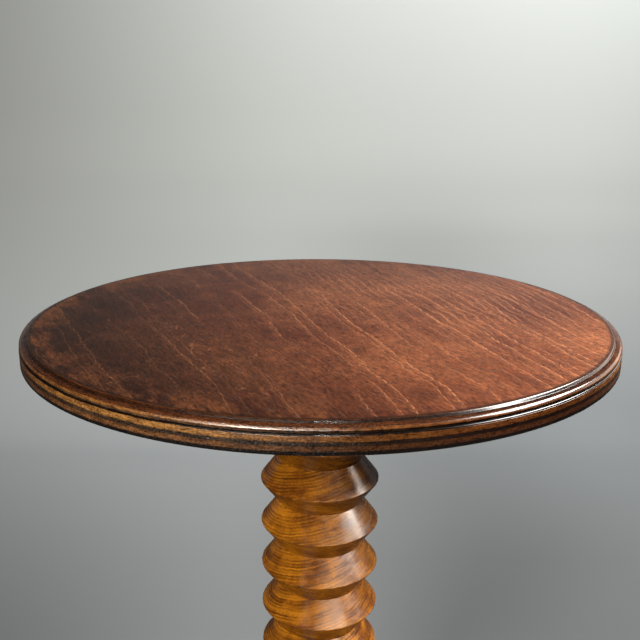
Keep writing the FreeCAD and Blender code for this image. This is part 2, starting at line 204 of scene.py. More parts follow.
def screw_holes(piece, node, circle, count, first):
    """Countersunk holes up through a round piece, in a circle round its axis."""
    low, high = foot_and_head(node)
    outline = [
        (0.0, low - MM),
        (COUNTERSINK, low - MM),
        (COUNTERSINK, low + SCREW_SINK),
        (SCREW_HOLE, low + SCREW_SINK + SCREW_HEAD),
        (SCREW_HOLE, high + MM),
        (0.0, high + MM),
    ]
    cutters = []
    for number in range(count):
        angle = first + 2 * math.pi * number / count
        place = (circle * math.cos(angle), circle * math.sin(angle))
        cutters.append(lathe(f"{node}_hole_{number}", outline, turns=HOLE_TURNS, at=place))
    cut_away(piece, cutters)


def dress(piece, materials, choose=None):
    """Gives a piece its materials and its place on the one body."""
    for material in materials:
        piece.data.materials.append(material)
    if choose:
        for face in piece.data.polygons:
            face.material_index = choose(face)
    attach(piece, "root")


# Writing materials: each Wire is a socket that ordinary sums act on

class Wire:
    """An output socket of a material, with the graph it is in."""

    def __init__(self, graph, socket):
        self.graph = graph
        self.socket = socket

    def __add__(self, other):
        return self.graph.math("ADD", self, other)

    __radd__ = __add__

    def __sub__(self, other):
        return self.graph.math("SUBTRACT", self, other)

    def __rsub__(self, other):
        return self.graph.math("SUBTRACT", other, self)

    def __mul__(self, other):
        return self.graph.math("MULTIPLY", self, other)

    __rmul__ = __mul__

    def __truediv__(self, other):
        return self.graph.math("DIVIDE", self, other)

    def __rtruediv__(self, other):
        return self.graph.math("DIVIDE", other, self)


class Graph:
    """One material and the nodes that make it."""

    def __init__(self, name):
        self.material = bpy.data.materials.new(name)
        self.material.use_nodes = True
        self.tree = self.material.node_tree
        self.tree.nodes.clear()

    def node(self, kind, inputs=(), **settings):
        """A new node with its settings, its inputs fed by number or name."""
        made = self.tree.nodes.new(kind)
        for key, setting in settings.items():
            setattr(made, key, setting)
        for key, given in dict(inputs).items():
            self.feed(made.inputs[key], given)
        return made

    def feed(self, socket, given):
        """Links a Wire to a socket, or sets a plain value on it."""
        if isinstance(given, Wire):
            self.tree.links.new(given.socket, socket)
        elif given is not None:
            socket.default_value = given

    def out(self, made, name=0):
        """A node's output, as a Wire."""
        return Wire(self, made.outputs[name])

    def math(self, operation, a, b=None, clamp=False):
        """Arithmetic on one or two numbers."""
        made = self.node("ShaderNodeMath", operation=operation, use_clamp=clamp)
        self.feed(made.inputs[0], a)
        self.feed(made.inputs[1], b)
        return self.out(made)

    def size(self, a):
        """A number without its sign."""
        return self.math("ABSOLUTE", a)

    def distance(self, x, y):
        """How far a point of the floor plan lies from the middle."""
        return self.math("POWER", x * x + y * y, 0.5)

    def fraction(self, a):
        """What a number has past the whole."""
        return self.math("FRACT", a)

    def whole(self, a):
        """The whole number at or below a number."""
        return self.math("FLOOR", a)

    def place(self):
        """The point in the piece's own frame, in metres, as x, y and z."""
        made = self.node("ShaderNodeTexCoord")
        parts = self.node("ShaderNodeSeparateXYZ", {0: self.out(made, "Object")})
        return self.out(parts, 0), self.out(parts, 1), self.out(parts, 2)

    def vector(self, x, y, z=0.0):
        """Three numbers as one vector."""
        made = self.node("ShaderNodeCombineXYZ", {0: x, 1: y, 2: z})
        return self.out(made)

    def noise(self, x, y, z, detail=2.0, roughness=0.5, distortion=0.0):
        """Smooth noise from 0 to 1, about one bump per unit. A plain z picks one slice of it."""
        inputs = {
            "Vector": self.vector(x, y, z),
            "Scale": 1.0,
            "Detail": detail,
            "Roughness": roughness,
            "Distortion": distortion,
        }
        return self.out(self.node("ShaderNodeTexNoise", inputs), "Fac")

    def chance(self, x, seed):
        """An even random number from 0 to 1 for each whole place."""
        made = self.node(
            "ShaderNodeTexWhiteNoise",
            {"Vector": self.vector(x, seed)},
            noise_dimensions="3D",
        )
        return self.out(made, "Value")

    def step(self, a, low, high, to_low=0.0, to_high=1.0, smooth=True):
        """A ramp of a from one range to another, held at its ends."""
        made = self.node(
            "ShaderNodeMapRange",
            {0: a, 1: low, 2: high, 3: to_low, 4: to_high},
            interpolation_type="SMOOTHSTEP" if smooth else "LINEAR",
        )
        return self.out(made)

    def contrast(self, a, edge):
        """Noise spread out so that what lies beyond edge and 1 - edge is 0 and 1."""
        return self.step(a, edge, 1.0 - edge, smooth=False)

    def ramp(self, a, stops, easing="B_SPLINE"):
        """A colour for each value of a, through stops of (place, colour)."""
        made = self.node("ShaderNodeValToRGB", {0: a})
        band = made.color_ramp
        band.interpolation = easing
        while len(band.elements) < len(stops):
            band.elements.new(1.0)
        for element, (where, colour) in zip(band.elements, stops):
            element.position = where
            element.color = (*colour, 1.0)
        return self.out(made)

    def blend(self, share, a, b):
        """Colour a, with a share of colour b laid over it."""
        made = self.node("ShaderNodeMix", data_type="RGBA", clamp_factor=True)
        self.feed(made.inputs[0], share)
        for socket, given in ((made.inputs[6], a), (made.inputs[7], b)):
            self.feed(socket, given if isinstance(given, Wire) else (*given, 1.0))
        return Wire(self, made.outputs[2])

    def shade(self, colour, amount):
        """The colour times a plain number."""
        made = self.node("ShaderNodeVectorMath", operation="SCALE")
        self.feed(made.inputs[0], colour)
        self.feed(made.inputs["Scale"], amount)
        return self.out(made)

    def surface(self, colour, roughness, relief=None, relief_depth=0.0, **further):
        """Ends the material in one principled shader, with relief in metres."""
        shader = self.node("ShaderNodeBsdfPrincipled")
        self.feed(shader.inputs["Base Color"], colour)
        self.feed(shader.inputs["Roughness"], roughness)
        for key, setting in further.items():
            self.feed(shader.inputs[key.replace("_", " ")], setting)
        if relief is not None:
            bump = self.node("ShaderNodeBump", {"Height": relief, "Distance": relief_depth})
            bump.inputs["Strength"].default_value = 1.0
            self.tree.links.new(bump.outputs[0], shader.inputs["Normal"])
        output = self.node("ShaderNodeOutputMaterial")
        self.tree.links.new(shader.outputs[0], output.inputs["Surface"])
        return self.material


def turned(x, y, angle):
    """The floor plan's two directions after a turn: across and along."""
    across = x * math.cos(angle) + y * math.sin(angle)
    along = y * math.cos(angle) - x * math.sin(angle)
    return across, along


# Stained veneer of the faces: rotary-cut, so its growth rings show as ragged contour lines

VENEER_TURN = math.radians(17)
FIBRE_TURN = math.radians(31)
VENEER_DEEP = (0.066, 0.0140, 0.0045)
VENEER_PLAIN = (0.148, 0.045, 0.0165)
VENEER_WARM = (0.262, 0.090, 0.0340)
VENEER_LINE = (0.560, 0.232, 0.1050)
VENEER_RUBBED = (0.200, 0.064, 0.0200)
VENEER_PORE = (0.022, 0.008, 0.005)
VENEER_BORDER = (0.012, 0.006, 0.004)
BORDER_START = 13.0 * MM
BORDER_END = 9.5 * MM

# Growth lines for each metre across, and the lines that crowd in about one place
LINES_PER_METRE = 36.0
CROWD_AT = 0.14
CROWD_WIDTH = 0.090
CROWD_LINES = 4.2
FINE_LINES_PER_METRE = 105.0


def growth_lines(g, across, along, roll, fade):
    """Ragged contours of a slowly rolling field: the lines, their broken share and the stain beside them."""
    offset = (across - CROWD_AT) / CROWD_WIDTH
    count = across * LINES_PER_METRE + g.math("ARCTANGENT", offset) * CROWD_LINES
    density = LINES_PER_METRE + CROWD_LINES / CROWD_WIDTH / (1.0 + offset * offset)
    wave = g.noise(across * 14.0, along * 34.0, 4.1, detail=3.0, roughness=0.60)
    jag = g.noise(across * 60.0, along * 170.0, 9.3, detail=4.0, roughness=0.66)
    field = count + (roll - 0.5) * 4.0
    field = field + (wave - 0.5) * (density * 0.0060)
    field = field + (jag - 0.5) * (density * 0.0062)

    number = g.whole(field + 0.5)
    past = field - number - (g.chance(number, 8.0) - 0.5) * 0.7
    line = g.step(g.size(past) / density, 0.20 * MM, 0.70 * MM, 1.0, 0.0)
    halo = g.step(g.size(past + density * 0.0022) / density, 0.5 * MM, 3.6 * MM, 1.0, 0.0)
    dotted = g.step(g.noise(across * 300.0, along * 170.0, 19.0), 0.34, 0.60, 0.15, 1.0)
    strength = g.step(g.chance(number, 3.0), 0.0, 0.85, 0.20, 1.0)
    present = g.step(fade, 0.27, 0.54) * strength
    return line, line * present * dotted, halo * present


def fine_lines(g, across, along, roll, fade, faint):
    """A second, finer and fainter family of growth lines, on the right."""
    wave = g.noise(across * 16.0, along * 20.0, 14.1, detail=4.0, roughness=0.62)
    field = across * FINE_LINES_PER_METRE + (roll - 0.5) * 5.0 + (wave - 0.5) * 2.2
    beside = g.math("PINGPONG", field, 0.5) / FINE_LINES_PER_METRE
    line = g.step(beside, 0.15 * MM, 0.9 * MM, 1.0, 0.0)
    area = g.step(across, -0.03, 0.09) * g.step(along, -0.20, 0.05)
    return line * area * faint * g.step(fade, 0.62, 0.42) * 0.62


def open_grain(g, x, y, roll):
    """Flecks, fibre and short open pores, which lie at their own angle."""
    over, down = turned(x, y, FIBRE_TURN)
    down = down + roll * 0.05
    fleck = g.noise(over * 560.0, down * 160.0, 61.0, detail=3.0, roughness=0.75)
    fibre = g.noise(over * 640.0, down * 44.0, 5.0, detail=3.0, roughness=0.75)
    pore = g.step(g.noise(over * 800.0, down * 90.0, 45.0, detail=1.0), 0.60, 0.68)
    return fleck, fibre, pore


def veneer(name, edge_radius, shift):
    """Face veneer for a round board. Shift picks another part of the same figure."""
    g = Graph(name)
    x, y, _ = g.place()
    across, along = turned(x, y, VENEER_TURN)
    across = across + shift[0]
    along = along + shift[1]
    across = across + g.step(across, 0.12, -0.28, 0.0, 0.19) * along
    roll = g.noise(across * 7.0, along * 3.6, 1.7, detail=1.5)
    fade = g.noise(across * 16.0, along * 9.0, 12.5, detail=4.0, roughness=0.62)
    faint = g.step(y, 0.02, 0.20, 1.0, 0.45)
    line, broken_line, halo = growth_lines(g, across, along, roll, fade)
    line_share = broken_line * faint * g.step(across, -0.16, 0.06, 0.5, 0.80)
    fine_share = fine_lines(g, across, along, roll, fade, faint)

    # Cloudy stain, warmer in patches and beside the lines
    cloud = g.noise(across * 7.0, along * 4.5, 21.0, detail=4.0, roughness=0.6)
    patch = g.noise(across * 40.0, along * 17.0, 31.0, detail=4.0, roughness=0.68)
    mottle = g.noise(across * 48.0, along * 30.0, 81.0, detail=5.0, roughness=0.74)
    colour = g.blend(g.step(cloud, 0.30, 0.68), VENEER_DEEP, VENEER_PLAIN)
    warm = g.step(patch + cloud * 0.5, 0.76, 1.06, 0.0, 0.34)
    colour = g.blend(warm, colour, VENEER_WARM)
    colour = g.blend(halo * 0.22, colour, VENEER_WARM)

    # Grain, and painted light and shade: one ramp darkens the left and the front, a second lightens the
    # front and darkens the back
    fleck, fibre, pore = open_grain(g, x, y, roll)
    flecks = g.contrast(fleck, 0.36)
    fibres = g.contrast(fibre, 0.36)
    depth = g.step((x * 0.8 + y * 0.5) / edge_radius, -0.80, 0.05, 0.19, 1.09)
    mottled = 1.0 + (mottle - 0.5) * g.step(x, -0.10, 0.15, 1.9, 1.1)
    grain = (0.07 + flecks * 0.92 + fibres * 0.82) * mottled
    colour = g.shade(colour, grain * depth * (1.0 - y * 0.9))

    # Where hands and cloths have rubbed the stain thin, near the edge on the left
    radius = g.distance(x, y)
    rubbed = g.step(radius, edge_radius * 0.80, edge_radius * 0.97) * g.step(x, 0.10, -0.05)
    rub_share = rubbed * g.step(patch + cloud, 0.88, 1.12) * (flecks * 0.7 + fibres * 0.5)
    colour = g.blend(rub_share * 0.75, colour, VENEER_RUBBED)

    # Growth lines, and thin wandering scuffs on the left half
    # The lines take the same painted shade, darker on the left and the front
    line_colour = g.shade(VENEER_LINE, (0.30 + depth * 0.60) * (0.75 + flecks * 0.5))
    colour = g.blend(fine_share, colour, line_colour)
    colour = g.blend(line_share, colour, line_colour)
    scuff = g.noise(across * 13.0, along * 7.0, 77.0, detail=4.0, roughness=0.52)
    scuffed = g.step(g.size(scuff - 0.5), 0.001, 0.008, 1.0, 0.0) * g.step(mottle, 0.42, 0.62)
    scuffed = scuffed * g.step(cloud, 0.42, 0.56) * g.step(x, 0.12, -0.02)
    colour = g.blend(scuffed * flecks * 0.55, colour, line_colour)

    # Open pores, and the dark border beside the step
    colour = g.blend(pore * 0.55, colour, VENEER_PORE)
    border = g.step(radius, edge_radius - BORDER_START, edge_radius - BORDER_END)
    colour = g.blend(border * 0.8, colour, VENEER_BORDER)
    roughness = 0.28 + fleck * 0.10 + pore * 0.2
    relief = fibre * 0.4 + fleck * 0.5 - pore * 0.6 + line * 0.2
    return g.surface(colour, roughness, relief, 0.07 * MM, Coat_Weight=0.06, Coat_Roughness=0.30)


# Ply edge: the board's layers, as millimetres below the face, the rubbed colour and the stained one

PLY_BLACK = (0.007, 0.0045, 0.0035)
PLY_LAYERS = (
    (0.0, (0.095, 0.028, 0.0090), (0.060, 0.018, 0.0060)),
    (0.7, (0.040, 0.013, 0.0050), (0.014, 0.006, 0.0040)),
    (2.2, (0.030, 0.010, 0.0040), (0.010, 0.005, 0.0035)),
    (2.5, (0.075, 0.022, 0.0065), (0.055, 0.017, 0.0060)),
    (3.0, (0.080, 0.024, 0.0070), (0.060, 0.018, 0.0060)),
    (3.2, (0.028, 0.010, 0.0040), (0.012, 0.005, 0.0035)),
    (3.5, (0.140, 0.046, 0.0110), (0.075, 0.024, 0.0075)),
    (4.3, (0.240, 0.092, 0.0200), (0.120, 0.040, 0.0105)),
    (5.4, (0.260, 0.106, 0.0250), (0.090, 0.029, 0.0080)),
    # The quirk, 5.8 to 8.0 mm down, is dark ply with painted shade in the groove; it turns brown only where
    # the rub share is high
    (5.8, PLY_BLACK, PLY_BLACK),
    (6.6, (0.120, 0.058, 0.0250), (0.012, 0.006, 0.0045)),
    (7.6, (0.120, 0.058, 0.0250), (0.012, 0.006, 0.0045)),
    (8.0, PLY_BLACK, PLY_BLACK),
    (9.1, PLY_BLACK, PLY_BLACK),
    (9.5, (0.330, 0.148, 0.0360), (0.110, 0.032, 0.0070)),
    (13.5, (0.330, 0.148, 0.0360), (0.100, 0.029, 0.0065)),
    (14.3, (0.050, 0.028, 0.0150), (0.012, 0.005, 0.0035)),
    (16.8, (0.050, 0.028, 0.0150), (0.012, 0.005, 0.0035)),
    (17.6, (0.160, 0.064, 0.0200), (0.056, 0.018, 0.0060)),
    (20.6, (0.170, 0.072, 0.0250), (0.056, 0.018, 0.0070)),
    # The black foot is dark ply with painted shade under its rounded edge
    (21.6, PLY_BLACK, PLY_BLACK),
    (25.0, PLY_BLACK, PLY_BLACK),
)
# How far the stain is rubbed through, at angles in degrees from the front towards the right. The shares also
# paint light and shade: a glow on the front left, the dark quirk and layers on the right, and a pale sheen
# from 66° to 85°
PLY_RUB_AND_GLOW = (
    (-180, 0.30),
    (-110, 0.20),
    (-70, 0.05),
    (-56, 0.20),
    (-42, 0.72),
    (-28, 1.0),
    (-14, 0.75),
    (0, 0.25),
    (14, 0.12),
    (28, 0.0),
    (50, 0.0),
    (66, 0.45),
    (85, 0.50),
    (120, 0.25),
    (180, 0.30),
)
# Painted light and shade over the whole edge, at the same angles: darker from 40° to 52°, and paler about
# 68° as a painted sheen
PLY_PAINTED_LIGHT = (
    (-180, 0.9),
    (28, 0.9),
    (40, 0.5),
    (52, 0.5),
    (68, 1.3),
    (110, 1.0),
    (180, 0.9),
)


def layer_stops(thickness, kind):
    """Ramp stops down the board's thickness, for the rubbed colours (1) or the stained ones (2)."""
    return [(layer[0] * MM / thickness, layer[kind]) for layer in PLY_LAYERS]


def turn_stops(shares):
    """Ramp stops round the board, from (degrees, share)."""
    return [(angle / 360 + 0.5, (share, share, share)) for angle, share in shares]


def ply_edge(name, face_height, radius, thickness, **finish):
    """The moulded edge of a board whose face is at face_height."""
    g = Graph(name)
    x, y, z = g.place()
    around = g.math("ARCTAN2", y, x) * radius
    depth = face_height - z
    travel = depth + g.distance(x, y) - radius
    turn = g.math("ARCTAN2", x, y * -1.0) / (2 * math.pi) + 0.5

    # Layers with slightly uneven borders, rubbed through by turns, where the rub share round the board is
    # also painted light and shade
    wander = g.noise(x * 26.0, y * 26.0, 2.0, detail=3.0) - 0.5
    ragged = g.noise(x * 300.0, y * 300.0, z * 300.0, detail=3.0, roughness=0.65) - 0.5
    level = (depth + wander * 0.0013 + ragged * 0.0012) / thickness
    rubbed = g.ramp(level, layer_stops(thickness, 1), "LINEAR")
    stained = g.ramp(level, layer_stops(thickness, 2), "LINEAR")
    blotch = g.noise(around * 55.0, travel * 160.0, 27.0, detail=4.0, roughness=0.66)
    patch = g.step(blotch, 0.36, 0.64)
    rub_share = g.math("MULTIPLY", g.ramp(turn, turn_stops(PLY_RUB_AND_GLOW)), 0.62 + patch * 0.60, clamp=True)
    colour = g.blend(rub_share, stained, rubbed)

    # Cut fibres: short slanting strokes, dashes along the layers, and nicks
    slant = around + travel * 0.4
    stroke = g.noise(slant * 460.0, travel * 520.0, 7.0, detail=3.0, roughness=0.76)
    dash = g.noise(around * 120.0, travel * 900.0, 17.0, detail=4.0, roughness=0.70)
    bite = g.contrast(stroke, 0.40)
    dashes = g.contrast(dash, 0.40)
    tone = 0.05 + bite * 0.70 + dashes * 0.80 + patch * 0.40
    # The edge is darkened and lightened by angle: painted light and shade
    colour = g.shade(colour, tone * g.ramp(turn, turn_stops(PLY_PAINTED_LIGHT)))
    nick = g.step(g.noise(slant * 700.0, travel * 420.0, 71.0, detail=1.0), 0.64, 0.72)
    colour = g.blend(nick * 0.7, colour, PLY_BLACK)

    # The right half is worn smoother than the left
    uneven = g.step(turn, 0.50, 0.55, 1.0, 0.2)
    roughness = 0.19 + (bite * 0.14 + nick * 0.2) * uneven
    relief = (bite * 0.7 + dashes * 0.7 - nick) * uneven * uneven
    return g.surface(colour, roughness, relief, 0.08 * MM, **finish)


# Turned wood: growth rings round a pith that runs up the piece, beside its axis

TURNED_LIGHT = (0.540, 0.188, 0.0100)
TURNED_PLAIN = (0.190, 0.052, 0.0050)
TURNED_DARK = (0.036, 0.009, 0.0020)
TURNED_PORE = (0.030, 0.011, 0.003)
TURNED_RING = 2.0 * MM


def turned_wood(name, pith):
    """Golden-brown stained hardwood with its pith at a place on the floor plan."""
    g = Graph(name)
    x, y, z = g.place()
    distance = g.distance(x - pith[0], y - pith[1])
    bend = g.noise(x * 11.0, y * 11.0, z * 7.0) - 0.5
    ripple = g.noise(x * 150.0, y * 150.0, z * 30.0, detail=4.0, roughness=0.68) - 0.5
    rings = (distance + bend * 0.008 + ripple * 0.0013) / TURNED_RING

    # Light and plain belts, with the late wood of each year dark and broken
    cloud = g.noise(x * 38.0, y * 38.0, z * 26.0, detail=4.0, roughness=0.62)
    belt = g.noise(rings * 0.42, x * 22.0 + y * 22.0, z * 16.0, detail=3.0, roughness=0.6)
    colour = g.blend(g.step(cloud * 0.5 + belt * 0.5, 0.37, 0.62), TURNED_PLAIN, TURNED_LIGHT)
    inside = g.fraction(rings)
    late = g.step(inside, 0.05, 0.62) * g.step(inside, 1.0, 0.68)
    year = g.step(g.chance(g.whole(rings), 5.0), 0.0, 1.0, 0.20, 1.0, smooth=False)
    broken = g.noise(x * 60.0, y * 60.0, z * 40.0, detail=3.0, roughness=0.6)
    late_share = late * year * g.step(broken, 0.30, 0.60, 0.25, 1.0)
    colour = g.blend(late_share * 0.78, colour, TURNED_DARK)

    # Fine grain and pores
    vessel = g.noise(x * 700.0, y * 700.0, z * 120.0, detail=3.0, roughness=0.66)
    fine = g.noise(distance * 1500.0 + ripple * 3.0, z * 14.0, 6.0, detail=3.0, roughness=0.7)
    pore = g.step(vessel, 0.60, 0.72)
    tone = 0.35 + g.contrast(fine, 0.34) * 0.55 + g.contrast(vessel, 0.28) * 0.50
    colour = g.blend(pore * 0.45, g.shade(colour, tone), TURNED_PORE)

    marks = g.noise(z * 2400.0, distance * 300.0, 3.0, roughness=0.6)
    worn = g.noise(x * 90.0, y * 90.0, z * 420.0)
    relief = marks * 0.5 - pore * 0.5 + vessel * 0.3
    roughness = 0.15 + worn * 0.22 + pore * 0.2
    return g.surface(colour, roughness, relief, 0.03 * MM, Coat_Weight=0.3, Coat_Roughness=0.20)


BOARD_RING = 6.0 * MM
BOARD_LIGHT = (0.16, 0.062, 0.019)
BOARD_DARK = (0.055, 0.019, 0.007)
BOARD_PORE = (0.02, 0.008, 0.004)


def flat_wood(name, turn):
    """Stained board of the cleat, whose grain lies flat."""
    g = Graph(name)
    x, y, z = g.place()
    across, along = turned(x, y, turn)
    bend = g.noise(across * 9.0, along * 3.0, z * 9.0) - 0.5
    rings = (z * 1.6 + across * across * 2.2 + bend * 0.016) / BOARD_RING
    late = g.step(g.fraction(rings), 0.25, 0.9)
    fibre = g.noise(across * 900.0, along * 45.0, z * 900.0, roughness=0.6)
    pore = g.step(g.noise(across * 1400.0, along * 90.0, z * 1400.0), 0.64, 0.74)
    colour = g.blend(late * 0.7, BOARD_LIGHT, BOARD_DARK)
    colour = g.shade(colour, 0.65 + fibre * 0.7)
    colour = g.blend(pore * 0.5, colour, BOARD_PORE)
    return g.surface(colour, 0.42 + fibre * 0.1, fibre * 0.5 - pore * 0.6, 0.08 * MM)


UNDERSIDE_DEEP = (0.085, 0.032, 0.014)
UNDERSIDE_PLAIN = (0.150, 0.060, 0.026)
UNDERSIDE_LINE = (0.26, 0.11, 0.048)


def underside_ply(name, turn):
    """Plain brown-stained veneer of the undersides."""
    g = Graph(name)
    x, y, _ = g.place()
    across, along = turned(x, y, turn)
    roll = g.noise(across * 7.0, along * 2.4, 40.0)
    jag = g.noise(across * 180.0, along * 30.0, 42.0)
    field = across * 30.0 + roll * 6.0 + jag * 0.25
    line = g.step(g.fraction(field), 0.0, 0.07, 1.0, 0.0)
    fibre = g.noise(across * 1000.0, along * 40.0, 43.0, roughness=0.6)
    cloud = g.noise(across * 6.0, along * 4.0, 44.0, detail=4.0)
    colour = g.blend(g.step(cloud, 0.3, 0.7), UNDERSIDE_DEEP, UNDERSIDE_PLAIN)
    colour = g.blend(line * 0.5, colour, UNDERSIDE_LINE)
    colour = g.shade(colour, 0.66 + fibre * 0.66)
    return g.surface(colour, 0.62, fibre, 0.08 * MM)


def metal(name, colour, roughness):
    """Plain plated hardware with fine rubbing marks."""
    g = Graph(name)
    x, y, z = g.place()
    rub = g.noise(x * 700.0, y * 90.0, z * 300.0, detail=3.0, roughness=0.6)
    stain = g.noise(x * 160.0, y * 160.0, z * 160.0)
    tarnished = [channel * 0.7 for channel in colour]
    tint = g.shade(g.blend(g.step(stain, 0.35, 0.75), colour, tarnished), 0.85 + rub * 0.3)
    return g.surface(tint, roughness + rub * 0.18, rub, 0.03 * MM, Metallic=1.0)


def felt(name):
    """Pressed dark felt, with its short tangled fibres."""
    g = Graph(name)
    x, y, z = g.place()
    fuzz = g.noise(x * 1500.0, y * 1500.0, z * 1500.0, detail=4.0, roughness=0.7, distortion=1.2)
    clump = g.noise(x * 260.0, y * 260.0, z * 260.0)
    colour = g.blend(clump, (0.060, 0.042, 0.030), (0.105, 0.078, 0.058))
    colour = g.shade(colour, 0.6 + fuzz * 0.8)
    return g.surface(colour, 0.95, fuzz + clump, 0.30 * MM, Sheen_Weight=0.35, Sheen_Roughness=0.5)


def bare_wood(name):
    """Pale wedge wood, its grain running up and down."""
    g = Graph(name)
    x, y, z = g.place()
    fibre = g.noise(x * 600.0, y * 900.0, z * 40.0, roughness=0.6)
    colour = g.blend(fibre, (0.42, 0.26, 0.13), (0.60, 0.42, 0.24))
    colour = g.shade(colour, 0.8 + fibre * 0.3)
    return g.surface(colour, 0.6, fibre, 0.06 * MM)


# The shared edge moulding, in distances from the board's widest radius and its face

STEP_DROP = 2.3 * MM
STEP_LEAN = 1.4 * MM
FACE_MARGIN = 8.0 * MM
SHOULDER_FALL = 0.35 * MM
OVOLO_DROP = 3.4 * MM
OVOLO_INSET = 0.3 * MM
OVOLO_WIDTH = 2.6 * MM
OVOLO_RADIUS = 4.6 * MM
QUIRK_HEIGHT = 2.2 * MM
QUIRK_DEPTH = 1.9 * MM
LEDGE_RADIUS = 1.4 * MM
SCRATCH_DEPTH = 0.25 * MM
SCRATCH_HEIGHT = 0.4 * MM
UNDER_RADIUS = 2.0 * MM
EASING = 0.35 * MM
FACE_EASING = 1.6 * MM
QUIRK_EASING = 0.5 * MM
FLAT_STEPS = 6


def board_outline(edge, face, underside):
    """The outline of a moulded board, from the middle of its underside to the middle of its face."""
    ovolo_top = face - STEP_DROP
    quirk_top = ovolo_top - OVOLO_DROP
    quirk_foot = quirk_top - QUIRK_HEIGHT
    ledge_foot = quirk_foot - LEDGE_RADIUS
    scratch_foot = ledge_foot - SCRATCH_HEIGHT
    step_foot = edge - FACE_MARGIN + STEP_LEAN
    ovolo_start = (edge - OVOLO_INSET, quirk_top + EASING / 2)
    ovolo_end = (edge - OVOLO_WIDTH, ovolo_top - SHOULDER_FALL)
    under_start = (edge - UNDER_RADIUS, underside)
    under_end = (edge, underside + UNDER_RADIUS)
    ledge_start = (edge, ledge_foot)
    ledge_end = (edge - LEDGE_RADIUS, quirk_foot)
    outline = [(share / FLAT_STEPS * under_start[0], underside) for share in range(FLAT_STEPS)]
    outline.append(under_start)
    outline += bow(under_start, under_end, UNDER_RADIUS)
    outline += eased([
        under_end,
        (edge, scratch_foot, EASING / 2),
        (edge - SCRATCH_DEPTH, scratch_foot + SCRATCH_HEIGHT / 2),
        ledge_start,
    ])
    outline += bow(ledge_start, ledge_end, LEDGE_RADIUS)
    outline += eased([
        ledge_end,
        (edge - QUIRK_DEPTH, quirk_foot, QUIRK_EASING),
        (edge - QUIRK_DEPTH, quirk_top, QUIRK_EASING),
        (edge - OVOLO_INSET, quirk_top, EASING / 2),
        ovolo_start,
    ])
    outline += bow(ovolo_start, ovolo_end, OVOLO_RADIUS)
    outline += eased([
        ovolo_end,
        (step_foot, ovolo_top, EASING),
        (edge - FACE_MARGIN, face, FACE_EASING),
        (edge - FACE_MARGIN * 2, face),
    ])
    flat = outline[-1][0]
    outline += [(flat * (1 - share / FLAT_STEPS), face) for share in range(1, FLAT_STEPS + 1)]
    return outline


VENEER, LAYERS, UNDERSIDE, DULL = range(4)
FLAT_ENOUGH = 0.99
# The step and the ledge are dull, like the quirk, left of this share of the radius
DULL_LEFT_OF = -0.02


def board_faces(edge, face):
    """A function that picks the material of each face of a moulded board."""
    quirk_foot = face - STEP_DROP - OVOLO_DROP - QUIRK_HEIGHT
    ledge_foot = quirk_foot - LEDGE_RADIUS
    veneer_edge = edge - FACE_MARGIN - FACE_EASING * 0.4
    step_edge = edge - FACE_MARGIN + STEP_LEAN
    under_edge = edge - UNDER_RADIUS * 1.01

    def choose(polygon):
        centre = polygon.center
        radius = math.hypot(centre.x, centre.y)
        if polygon.normal.z > FLAT_ENOUGH and radius < veneer_edge:
            return VENEER
        if polygon.normal.z < -FLAT_ENOUGH and radius < under_edge:
            return UNDERSIDE
        as_deep_as_quirk = edge - QUIRK_DEPTH * 1.1 < radius < edge - QUIRK_DEPTH * 0.6
        if as_deep_as_quirk and abs(centre.z - quirk_foot) < QUIRK_HEIGHT * 1.1:
            return DULL
        on_step_or_ledge = radius < step_edge or ledge_foot < centre.z < quirk_foot + MM
        if on_step_or_ledge and centre.x < DULL_LEFT_OF * edge:
            return DULL
        return LAYERS

    return choose


def board(node, shift, turn, screws=None):
    """A moulded round board, with veneer above, its layers round the edge and plain ply below."""
    edge = reach(node)
    underside, face = foot_and_head(node)
    thickness = face - underside
    piece = lathe(f"{node}_board", board_outline(edge, face, underside))
    if screws:
        screw_holes(piece, node, *screws)
    materials = [
        veneer(f"{node}_veneer", edge, shift),
        ply_edge(f"{node}_layers", face, edge, thickness, Coat_Weight=0.25, Coat_Roughness=0.14),
        underside_ply(f"{node}_underside", turn),
        ply_edge(f"{node}_quirk", face, edge, thickness, Specular_IOR_Level=0.08),
    ]
    dress(piece, materials, board_faces(edge, face))
    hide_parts(node)
    return piece


# Column of stacked double cones

RING_COUNT = 10
NECK_RADIUS = 45 * MM
RING_ARRIS = 1.3 * MM
NECK_EASING = 0.5 * MM
TENON_RADIUS = 20 * MM
TENON_CHAMFER = 1.5 * MM
COLUMN_PITH = (-9 * MM, 1 * MM)


def column():
    """The turned column, with its two tenons."""
    low, high = foot_and_head("column")
    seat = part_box("base_collar")[1].z
    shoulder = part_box("top_cleat")[0].z
    ring_radius = reach("column")
    pitch = (shoulder - seat) / RING_COUNT
    corners = [
        (0.0, low),
        (TENON_RADIUS - TENON_CHAMFER, low),
        (TENON_RADIUS, low + TENON_CHAMFER),
        (TENON_RADIUS, seat),
        (NECK_RADIUS, seat),
    ]
    for number in range(RING_COUNT):
        corners.append((ring_radius, seat + (number + 0.5) * pitch, RING_ARRIS))
        if number < RING_COUNT - 1:
            corners.append((NECK_RADIUS, seat + (number + 1) * pitch, NECK_EASING))
    corners += [
        (NECK_RADIUS, shoulder),
        (TENON_RADIUS, shoulder),
        (TENON_RADIUS, high - TENON_CHAMFER),
        (TENON_RADIUS - TENON_CHAMFER, high),
        (0.0, high),
    ]
    piece = lathe("column_turning", eased(corners))
    dress(piece, [turned_wood("column_wood", COLUMN_PITH)])
    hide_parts("column")
    return piece


# The collar

COLLAR_FILLET = 5 * MM
COLLAR_TOP_RADIUS = 49 * MM
COLLAR_COVE = 32 * MM
COLLAR_PITH = (11 * MM, 6 * MM)


